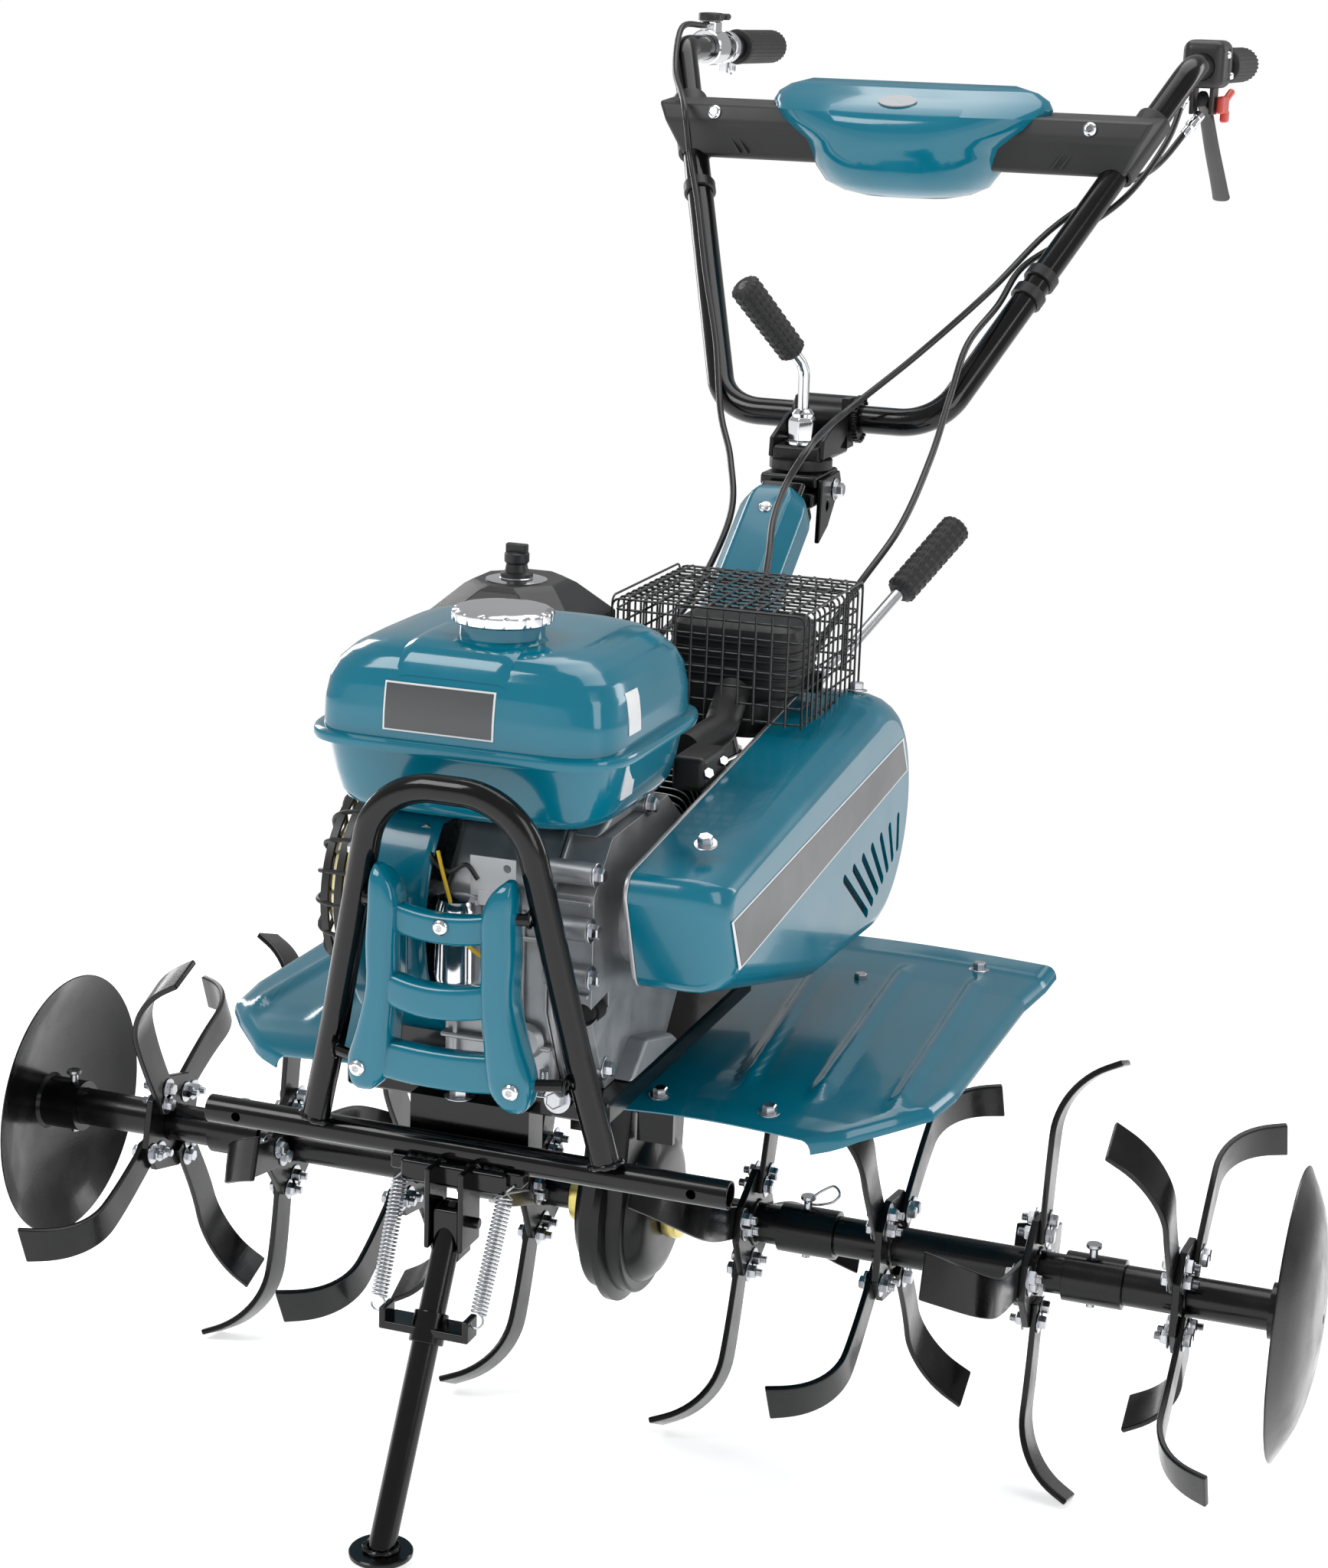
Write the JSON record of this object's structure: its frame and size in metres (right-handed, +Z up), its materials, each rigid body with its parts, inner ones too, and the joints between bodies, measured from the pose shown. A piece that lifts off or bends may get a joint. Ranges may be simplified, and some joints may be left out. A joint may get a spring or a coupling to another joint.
{
  "type": "mini cultivator",
  "caption": "Front-engined petrol rotary tiller with eight tine stars on one axle, side discs, belt drive, fold-up front foot and a swivelling handlebar.",
  "frame": {"origin": "centre of the bounding box on the floor, with the machine parked on its tines and front foot", "axes": "+Y towards the operator, +X the belt side (the machine seen from behind has it on the right), +Z up; the machine leans forward 12.4 degrees about X when parked"},
  "size_m": [1.12, 1.3144, 1.3045],
  "materials": {
    "black_casting": "gloss black paint on a casting",
    "black_paint": "gloss paint",
    "black_plastic": "fine texture",
    "black_rubber": "matt",
    "cast_aluminium": "as cast",
    "red_plastic": "gloss",
    "teal_paint": "gloss paint",
    "teal_plastic": "gloss",
    "teal_tank": "gloss paint over a thin shell full of fuel",
    "yellow_zinc": "yellow zinc plating",
    "zinc_steel": "zinc plated"
  },
  "bodies": {
    "chassis": {"air_cleaner_case": "black_plastic", "air_cleaner_cover": "black_plastic", "belt_backplate": "zinc_steel", "belt_cover": "teal_paint", "bumper_hoop": "black_paint", "clutch_cable": "black_rubber", "column_cover": "teal_paint", "crankcase": "cast_aluminium", "crankcase_cover": "cast_aluminium", "cylinder_block": "cast_aluminium", "drive_belt": "black_rubber", "engine_base": "black_paint", "fan_shroud": "teal_paint", "fender_left": "teal_paint", "fender_right": "teal_paint", "front_bar": "black_paint", "front_guard": "teal_plastic", "fuel_tank": "teal_tank", "gearbox_housing": "black_casting", "handle_column": "black_paint", "muffler": "black_paint", "muffler_guard": "black_paint", "recoil_starter": "black_plastic", "shift_cable": "black_rubber", "stand_spring_left": "zinc_steel", "stand_spring_right": "zinc_steel", "throttle_cable": "black_rubber"},
    "rotor": {"tine_axle": "black_paint", "axle_collar_left": "yellow_zinc", "axle_collar_right": "yellow_zinc", "side_disc_left": "black_paint", "side_disc_right": "black_paint", "tine_star_left_1": "black_paint", "tine_star_left_2": "black_paint", "tine_star_left_3": "black_paint", "tine_star_left_4": "black_paint", "tine_star_right_1": "black_paint", "tine_star_right_2": "black_paint", "tine_star_right_3": "black_paint", "tine_star_right_4": "black_paint"},
    "stand": {"stand_leg": "black_paint"},
    "swivel_head": {"head_bracket": "black_paint"},
    "lock": {"lock_lever": "zinc_steel"},
    "bars": {"handlebar": "black_paint", "grip_left": "black_rubber", "grip_right": "black_rubber", "console_bar": "black_plastic", "console_cover": "teal_plastic", "clutch_housing": "black_plastic", "throttle_perch": "zinc_steel"},
    "clutch": {"clutch_lever": "black_paint"},
    "latch": {"clutch_latch": "red_plastic"},
    "throttle": {"throttle_lever": "black_plastic"},
    "shifter": {"shift_lever": "zinc_steel"},
    "tensioner": {"belt_tensioner": "zinc_steel"},
    "cap": {"fuel_cap": "zinc_steel"},
    "knob": {"air_cleaner_knob": "black_plastic"},
    "pull_grip": {"starter_grip": "black_rubber"},
    "crank": {"crankshaft": "zinc_steel"},
    "input_pulley": {"gearbox_pulley": "zinc_steel"}
  },
  "joints": [
    {"name": "rotor_turn", "type": "hinge", "parent": "chassis", "child": "rotor", "pos_m": [0, -0.16085, 0.17517], "axis": [1, 0, 0], "continuous": true},
    {"name": "stand_fold", "type": "hinge", "parent": "chassis", "child": "stand", "pos_m": [0, -0.56387, 0.22503], "axis": [1, 0, 0], "range_deg": [-75, 0], "deforming": ["stand_spring_left", "stand_spring_right"]},
    {"name": "head_swivel", "type": "hinge", "parent": "chassis", "child": "swivel_head", "pos_m": [0, 0.07773, 0.80077], "axis": [0, -0.2141, 0.9768], "range_deg": [-30, 30], "deforming": ["clutch_cable", "shift_cable", "throttle_cable"]},
    {"name": "bar_tilt", "type": "hinge", "parent": "swivel_head", "child": "bars", "pos_m": [0, 0.14806, 0.85355], "axis": [1, 0, 0], "range_deg": [-15, 15], "deforming": ["clutch_cable", "shift_cable", "throttle_cable"]},
    {"name": "lock_turn", "type": "hinge", "parent": "swivel_head", "child": "lock", "pos_m": [0, 0.07773, 0.80077], "axis": [0, -0.2141, 0.9768], "range_deg": [0, 90]},
    {"name": "clutch_squeeze", "type": "hinge", "parent": "bars", "child": "clutch", "pos_m": [0.256, 0.44584, 1.20906], "axis": [1, 0, 0], "range_deg": [0, 30], "stiffness_Nm_per_rad": 3, "springref_deg": -28.65, "deforming": ["clutch_cable", "drive_belt"]},
    {"name": "latch_press", "type": "hinge", "parent": "bars", "child": "latch", "pos_m": [0.272, 0.44889, 1.21382], "axis": [1, 0, 0], "range_deg": [0, 12], "stiffness_Nm_per_rad": 0.05, "springref_deg": -17.19},
    {"name": "throttle_turn", "type": "hinge", "parent": "bars", "child": "throttle", "pos_m": [-0.256, 0.44005, 1.26819], "axis": [0, -0.2141, 0.9768], "range_deg": [0, 60], "deforming": ["throttle_cable"]},
    {"name": "shift_move", "type": "hinge", "parent": "chassis", "child": "shifter", "pos_m": [0.0125, -0.16784, 0.534], "axis": [1, 0, 0], "range_deg": [-12, 12], "deforming": ["shift_cable"]},
    {"name": "tensioner_swing", "type": "hinge", "parent": "chassis", "child": "tensioner", "pos_m": [0.113, -0.41393, 0.46572], "axis": [1, 0, 0], "range_deg": [0, 7.5], "deforming": ["drive_belt"]},
    {"name": "cap_turn", "type": "hinge", "parent": "chassis", "child": "cap", "pos_m": [0, -0.58155, 0.64192], "axis": [0, -0.2141, 0.9768], "range_deg": [0, 90]},
    {"name": "knob_turn", "type": "hinge", "parent": "chassis", "child": "knob", "pos_m": [-0.08, -0.36735, 0.67351], "axis": [0, -0.2141, 0.9768], "range_deg": [0, 180]},
    {"name": "starter_pull", "type": "slide", "parent": "chassis", "child": "pull_grip", "axis": [-0.4512, 0.8717, 0.1911], "range_m": [0, 0.45], "stiffness_N_per_m": 15, "springref_m": -0.5},
    {"name": "crank_turn", "type": "hinge", "parent": "chassis", "child": "crank", "pos_m": [0, -0.49165, 0.44664], "axis": [1, 0, 0], "continuous": true},
    {"name": "input_turn", "type": "hinge", "parent": "chassis", "child": "input_pulley", "pos_m": [0, -0.18927, 0.51497], "axis": [1, 0, 0], "continuous": true}
  ],
  "couplings": [
    {"joint": "tensioner_swing", "follows": "clutch_squeeze", "ratio": 0.25},
    {"joint": "input_turn", "follows": "crank_turn", "ratio": 0.411}
  ]
}
